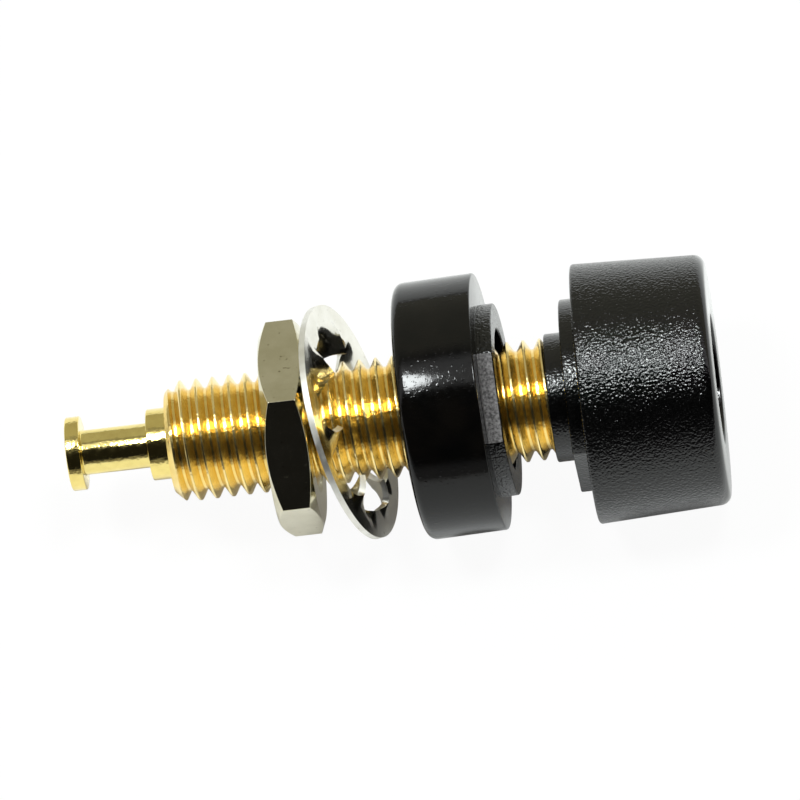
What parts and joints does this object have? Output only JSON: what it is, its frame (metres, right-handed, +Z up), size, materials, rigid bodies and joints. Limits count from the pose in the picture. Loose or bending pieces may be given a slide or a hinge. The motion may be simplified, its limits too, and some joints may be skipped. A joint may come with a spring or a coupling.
{
  "type": "banana socket",
  "caption": "Panel-mount banana socket: gold threaded stud with plug bore and solder turret in a black moulded head, with insulating washer, toothed lock washer and hex nut.",
  "frame": {"origin": "on the jack's axis, in the plane of the head's face that seats on the panel", "axes": "+X along the axis out of the plug hole, -X towards the solder turret, +Z up, -Y the way the flat of the head's collar faces"},
  "size_m": [0.042, 0.0169, 0.0169],
  "materials": {
    "gold_plate": "polished",
    "head_plastic": "matte",
    "washer_plastic": "gloss",
    "washer_nickel": "satin",
    "nut_nickel": "polished"
  },
  "bodies": {
    "jack": {"jack_stud": "gold_plate", "head": "head_plastic"},
    "insulator": {"insulating_washer": "washer_plastic"},
    "washer": {"lock_washer": "washer_nickel"},
    "nut": {"hex_nut": "nut_nickel"}
  },
  "joints": [
    {"name": "insulator_slide", "type": "slide", "parent": "jack", "child": "insulator", "axis": [1, 0, 0], "range_m": [0, 0.0037]},
    {"name": "washer_slide", "type": "slide", "parent": "jack", "child": "washer", "axis": [1, 0, 0], "range_m": [-0.0092, 0.0019]},
    {"name": "nut_turn", "type": "hinge", "parent": "washer", "child": "nut", "pos_m": [-0.0188, 0, 0], "axis": [1, 0, 0], "range_deg": [-3132, 648]}
  ],
  "couplings": [
    {"joint": "nut_turn", "follows": "washer_slide", "rad_per_m": 5938.7}
  ]
}
